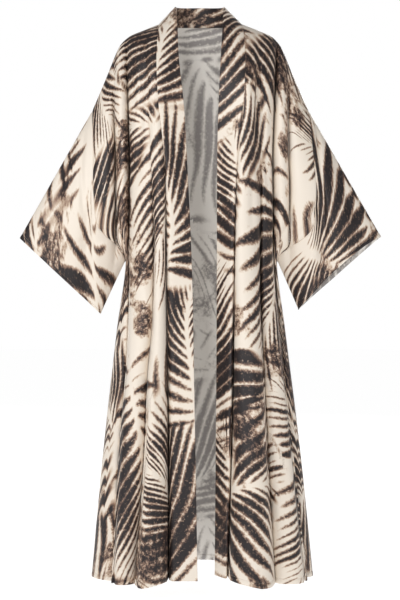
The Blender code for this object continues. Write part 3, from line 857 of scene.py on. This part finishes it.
satin = {
    "face": (
        (0.02, (233, 222, 208)), (0.20, (205, 183, 161)), (0.42, (143, 113, 94)), (0.60, (88, 68, 60)),
        (0.84, (33, 26, 27)),
    ),
    "reverse": (
        (0.02, (222, 218, 212)), (0.30, (203, 198, 192)), (0.60, (170, 165, 160)), (0.84, (144, 139, 137)),
    ),
    # the reverse's glow is painted light: an even emission of its own colour that brightens the coat's shaded
    # inside
    "roughness": 0.43, "inkRoughness": 0.06, "sheen": 0.04, "paintedGlow": 0.20,
    # scale, detail, roughness
    "noises": {
        "wave": (5.5, 0.8, 0.5), "mottle": (130.0, 8.0, 0.80), "patch": (4.6, 6.0, 0.62),
        "cracks": (75.0, 9.0, 0.78), "weave": (900.0, 2.0, 0.5), "region": (4.2, 1.5, 0.5),
    },
    # thinnest thin leaf, its chance part, narrowest broad leaf, its chance part
    "leafWidth": (0.16, 0.26, 0.74, 0.42),
    # where leaves are broad: a leaf's chance part, then from none to all; and where one is thin at all
    "broadChance": 0.20, "broad": (0.26, 0.38), "thin": (0.34, 0.40),
    # leaf room that the edges are made for, widest leaf, smallest scale
    "leafRoom": 0.030, "widest": 0.040, "leastScale": 0.9,
    # at a leaf's tip: chance part, rate, power; at its root: rate, width
    "tip": (0.36, 1.9, 0.75), "stem": (3.2, 0.34),
    "wave": 0.45, "grain": 1.60, "soft": 1.35, "edge": 0.22, "tipFade": (0.06, 0.30), "ribFade": (0.012, 0.050),
    # a layer covers the one below: share of the waves and of the mottle, then from none to all
    "cover": (0.3, 0.12), "coverEase": (-0.02, 0.13),
    # pale specks in dark leaves: from none to all, strength
    "specks": (0.06, 0.17), "speckStrength": 0.62,
    # dark clouds: from none to all, strength; cracks: contrast, darkness, what the leaves add
    "patch": (0.535, 0.625), "cloud": 0.85, "cracks": (4.2, 0.66, 0.25),
    "weaveBump": (0.25, 0.0002),
}


def clothNoise(finish, flat, name, dimensions="2D"):
    scale, detail, roughness = satin["noises"][name]
    return finish.node("ShaderNodeTexNoise", {"noise_dimensions": dimensions},
                       {"Vector": flat, "Scale": scale, "Detail": detail, "Roughness": roughness})


def printInk(finish):
    # How dark the print is, from the three layers' own coordinates.
    flat = finish.node("ShaderNodeUVMap", {"uv_map": "flatCloth"})
    wave = clothNoise(finish, flat, "wave") - 0.5
    mottle = clothNoise(finish, flat, "mottle") - 0.5
    region = clothNoise(finish, flat, "region", "3D")
    tone = finish.node("ShaderNodeAttribute", {"attribute_name": "printTone"}, output=2)
    thin, thinChance, broad, broadChance = satin["leafWidth"]
    tipChance, tipRate, tipPower = satin["tip"]
    stemRate, stemWidth = satin["stem"]
    waveCover, mottleCover = satin["cover"]
    rooms = finish.node("ShaderNodeAttribute", {"attribute_name": "leafRooms"}, output=1)
    rooms = finish.node("ShaderNodeSeparateXYZ", {}, {0: rooms}).socket.node.outputs
    ink = None
    for layer in range(len(leafPrint["layers"])):
        field = finish.node("ShaderNodeAttribute", {"attribute_name": "fronds" + "ABC"[layer]}, output=1)
        parts = finish.node("ShaderNodeSeparateXYZ", {}, {0: field})
        reach = Signal(finish, parts.socket.node.outputs[1])
        inside = Signal(finish, parts.socket.node.outputs[2])
        room = Signal(finish, rooms[layer])
        scale = (room * (1.0 / satin["leafRoom"])).above(satin["leastScale"])
        number = parts + wave * (2.0 * satin["wave"]) / scale
        leaf = number.maths("FLOOR")
        away = abs(number.maths("FRACT") - 0.5) * 2.0
        chance, other = (finish.node("ShaderNodeTexWhiteNoise", {"noise_dimensions": "1D"},
                                     {"W": leaf + start + 1000.0 * layer}) for start in (0.5, 500.5))
        share = (region + tone + (chance - 0.5) * satin["broadChance"]).eased(*satin["broad"])
        thinLeaf = (chance * thinChance + thin) * other.eased(*satin["thin"])
        full = thinLeaf.above(share * (chance * broadChance + broad))
        ending = inside + (other - 0.5) * tipChance
        tip = (ending * tipRate).kept() ** tipPower
        width = full * (reach * stemRate + stemWidth).below(1.0)
        width = width.below((room / satin["widest"]) ** -1.0) * tip
        density = (width - away) * scale * satin["soft"] + mottle * satin["grain"] + satin["edge"]
        one = density.kept() * tip.eased(*satin["tipFade"]) * reach.eased(*satin["ribFade"])
        cover = (inside + wave * waveCover + mottle * mottleCover).eased(*satin["coverEase"])
        ink = one if ink is None else ink * (1.0 - cover) + one
    ink = ink * (1.0 - (mottle * -1.0).eased(*satin["specks"]) * satin["speckStrength"])
    # Here and there the print is a dark cloud broken up by cracks and specks.
    cloud = clothNoise(finish, flat, "patch").eased(*satin["patch"]) * satin["cloud"]
    contrast, darkness, added = satin["cracks"]
    cracks = (clothNoise(finish, flat, "cracks") - 0.5) * contrast + darkness + ink * added
    ink = ink * (1.0 - cloud) + cloud * cracks.kept()
    return ink.kept(), flat


def satinFinish(name, colours, paintedGlow):
    finish = Finish(name)
    ink, flat = printInk(finish)
    stops = [(place, linear(*screen)) for place, screen in colours]
    colour = finish.node("ShaderNodeValToRGB", {"stops": stops}, {0: ink})
    strength, distance = satin["weaveBump"]
    weave = clothNoise(finish, flat, "weave")
    bump = finish.node("ShaderNodeBump", {}, {"Height": weave, "Strength": strength, "Distance": distance})
    roughness = satin["roughness"] + ink * satin["inkRoughness"]
    # Emission in the print's own colour: none on the face, and on the reverse it is painted light.
    finish.fill(finish.shader, {
        "Base Color": colour, "Roughness": roughness, "Normal": bump, "Metallic": 0.0,
        "Sheen Weight": satin["sheen"], "Sheen Roughness": 0.4, "Specular IOR Level": 0.4,
        "Emission Color": colour, "Emission Strength": paintedGlow,
    })
    return finish.material


clothFace = satinFinish("printedSatin", satin["face"], 0.0)
# The reverse glows with painted light, so the coat's inside, which lies in shade, looks bright.
clothReverse = satinFinish("printedSatinReverse", satin["reverse"], satin["paintedGlow"])
print("materials made")

stitching = {"step": 0.0034, "length": 0.0024, "width": 0.0005, "height": 0.0004, "reach": 0.001, "row": -6}


def threadFinish():
    finish = Finish("sewingThread")
    place = finish.node("ShaderNodeTexCoord", {}, {}, output=3)
    twist = finish.node("ShaderNodeTexNoise", {}, {"Vector": place, "Scale": 1400.0, "Detail": 2.0})
    stops = [(0.3, linear(176, 158, 140)), (0.7, linear(214, 200, 184))]
    colour = finish.node("ShaderNodeValToRGB", {"stops": stops}, {0: twist})
    finish.fill(finish.shader, {"Base Color": colour, "Roughness": 0.6, "Metallic": 0.0})
    return finish.material


thread = threadFinish()


def makeStitches(name, faces):
    # One stitch is modelled, then copied along the hem's line on both faces and the copies joined.
    bpy.ops.object.select_all(action="DESELECT")
    bpy.ops.mesh.primitive_uv_sphere_add(segments=6, ring_count=4, radius=0.5)
    first = bpy.context.object
    first.scale = (stitching["length"], stitching["width"], stitching["height"] * 2)
    bpy.ops.object.transform_apply(location=False, rotation=False, scale=True)
    bpy.ops.object.shade_smooth()
    first.data.materials.append(thread)
    copies = []
    normals = shapeNormals[name][stitching["row"]]
    for line in (face[stitching["row"]] for face in faces):
        run = np.concatenate([[0.0], np.cumsum(np.linalg.norm(np.diff(line, axis=0), axis=-1))])
        count = int(run[-1] / stitching["step"])
        for i in range(count):
            at = (i + 0.5) * run[-1] / count
            ends = [np.array([np.interp(at + shift, run, line[:, axis]) for axis in range(3)])
                    for shift in (-stitching["reach"], stitching["reach"])]
            up = Vector([np.interp(at, run, normals[:, axis]) for axis in range(3)]).normalized()
            lengthwise = Vector(ends[1] - ends[0]).normalized()
            across = up.cross(lengthwise).normalized()
            copy = bpy.data.objects.new("stitch", first.data.copy())
            turn = Matrix((lengthwise, across, lengthwise.cross(across))).transposed().to_4x4()
            copy.data.transform(Matrix.Translation(Vector(ends[0] + ends[1]) / 2) @ turn)
            bpy.context.scene.collection.objects.link(copy)
            copies.append(copy)
    bpy.data.objects.remove(first)
    for copy in copies:
        copy.select_set(True)
    bpy.context.view_layer.objects.active = copies[0]
    bpy.ops.object.join()
    stitches = bpy.context.object
    stitches.name = stitches.data.name = name + "_hem_stitches"
    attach(stitches, "root")
    return stitches


def wallOffsets(name, grid):
    # How far the outer and the inner face lie in from the grid.
    rows, width = grid.shape[:2]
    outer, wall = np.zeros((rows, width)), np.full((rows, width), mesh["wall"])
    wall[-len(sewing["hemWall"]):] = np.array(sewing["hemWall"])[:, None]
    if name == "neckband":
        wall[:] = band["wall"] - band["thinner"]
        half = wall / 2
        reach = np.linalg.norm(grid - grid[:, -1:], axis=-1)
        rounded = np.sqrt(np.maximum(0.0, 1.0 - (1.0 - np.minimum(1.0, reach / half)) ** 2))
        outer = half * (1.0 - rounded)
        wall = half * (1.0 + rounded)
    return outer, wall


def makeShell(name):
    grid, normals = shapes[name], shapeNormals[name]
    rows, width = grid.shape[:2]
    outerIn, innerIn = wallOffsets(name, grid)
    outer = grid - normals * outerIn[..., None]
    inner = grid - normals * innerIn[..., None]
    points = np.concatenate([outer.reshape(-1, 3), inner.reshape(-1, 3)])
    count = rows * width
    index = np.arange(count).reshape(rows, width)
    a, b, c, d = index[:-1, :-1], index[:-1, 1:], index[1:, 1:], index[1:, :-1]
    faces = np.stack([a, b, c, d], axis=-1).reshape(-1, 4)
    border = [*zip(index[0, :-1], index[0, 1:]), *zip(index[-1, 1:], index[-1, :-1]),
              *zip(index[:-1, -1], index[1:, -1]), *zip(index[1:, 0], index[:-1, 0])]
    rims = [(second, first, count + first, count + second) for first, second in border]
    allFaces = np.concatenate([faces, faces[:, ::-1] + count, np.array(rims)])
    data = bpy.data.meshes.new(name + "_cloth")
    data.from_pydata(points.tolist(), [], allFaces.tolist())
    data.materials.append(clothFace)
    data.materials.append(clothFace if name == "neckband" else clothReverse)
    indices = np.zeros(len(allFaces), dtype=np.int32)
    indices[len(faces):2 * len(faces)] = 1
    data.polygons.foreach_set("material_index", indices)
    data.polygons.foreach_set("use_smooth", np.ones(len(allFaces), dtype=bool))
    flat = np.concatenate([flats[name].reshape(-1, 2)] * 2) + np.array(pieceOffsets[name])
    corners = np.empty(len(data.loops), dtype=np.int32)
    data.loops.foreach_get("vertex_index", corners)
    data.uv_layers.new(name="flatCloth").data.foreach_set("uv", flat[corners].astype(np.float32).ravel())
    fields = {"fronds" + letter: field[..., :3].reshape(-1, 3) for letter, field in zip("ABC", layers[name])}
    fields["leafRooms"] = np.stack([field[..., 3].ravel() for field in layers[name]], axis=-1)
    for key, values in fields.items():
        attribute = data.attributes.new(key, "FLOAT_VECTOR", "POINT")
        attribute.data.foreach_set("vector", np.concatenate([values] * 2).astype(np.float32).ravel())
    tones = np.full(2 * count, leafPrint["tone"].get(name, 0.0), dtype=np.float32)
    data.attributes.new("printTone", "FLOAT", "POINT").data.foreach_set("value", tones)
    made = bpy.data.objects.new(name + "_cloth", data)
    bpy.context.scene.collection.objects.link(made)
    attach(made, "root")
    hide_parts(name)
    "neckband" if name == "neckband" else "cloth"
    stitches = [] if name == "neckband" else [makeStitches(name, (outer, inner))]
    return made


cloth = {name: makeShell(name) for name in grids}
print("shells made,", sum(len(piece.data.polygons) for piece in cloth.values()), "faces")

# Floor, light and backdrop.
studio = {
    "floor": -1.31, "sky": 0.28,
    # name: place, aim, size, power
    "lamps": {
        "frontKey": ((-0.80, -3.5, 0.15), (0.0, 0.0, -0.60), 0.7, 36.0),
        "sideKey": ((-2.1, -2.3, 0.8), (0.0, 0.0, -0.55), 1.2, 27.0),
        "sideFill": ((2.2, -2.0, -0.1), (0.0, 0.0, -0.60), 1.6, 7.0),
        "backKey": ((0.9, 3.3, 0.5), (0.0, 0.0, -0.60), 1.4, 55.0),
    },
}


def makeFloor():
    bpy.ops.object.select_all(action="DESELECT")
    bpy.ops.mesh.primitive_circle_add(vertices=96, radius=9.0, fill_type="NGON",
                                      location=(0.0, 0.0, studio["floor"]))
    floor = bpy.context.object
    floor.name = "studioFloor"
    bpy.ops.object.transform_apply(location=True, rotation=True, scale=True)
    paper = Finish("floorPaper")
    paper.fill(paper.shader, {"Base Color": (0.4, 0.4, 0.4, 1.0), "Roughness": 0.9, "Specular IOR Level": 0.1,
                              "Emission Color": (1.0, 1.0, 1.0, 1.0), "Emission Strength": 0.87})
    floor.data.materials.append(paper.material)


def addLight(name, place, aim, size, power):
    lamp = bpy.data.lights.new(name, "AREA")
    lamp.shape, lamp.size, lamp.energy = "SQUARE", size, power
    made = bpy.data.objects.new(name, lamp)
    made.location = place
    made.rotation_euler = (Vector(aim) - Vector(place)).to_track_quat("-Z", "Y").to_euler()
    made.visible_camera = False
    bpy.context.scene.collection.objects.link(made)


def makeSky():
    world = bpy.data.worlds.new("studioSky")
    bpy.context.scene.world = world
    world.use_nodes = True
    nodes, links = world.node_tree.nodes, world.node_tree.links
    nodes.clear()
    white, soft = nodes.new("ShaderNodeBackground"), nodes.new("ShaderNodeBackground")
    soft.inputs[1].default_value = studio["sky"]
    white.inputs[0].default_value = soft.inputs[0].default_value = (1.0, 1.0, 1.0, 1.0)
    seen, both = nodes.new("ShaderNodeLightPath"), nodes.new("ShaderNodeMixShader")
    output = nodes.new("ShaderNodeOutputWorld")
    links.new(seen.outputs["Is Camera Ray"], both.inputs[0])
    links.new(soft.outputs[0], both.inputs[1])
    links.new(white.outputs[0], both.inputs[2])
    links.new(both.outputs[0], output.inputs[0])


makeFloor()
makeSky()
for lampName, (place, aim, size, power) in studio["lamps"].items():
    addLight(lampName, place, aim, size, power)
bpy.context.scene.view_settings.view_transform = "Standard"
print("studio ready")
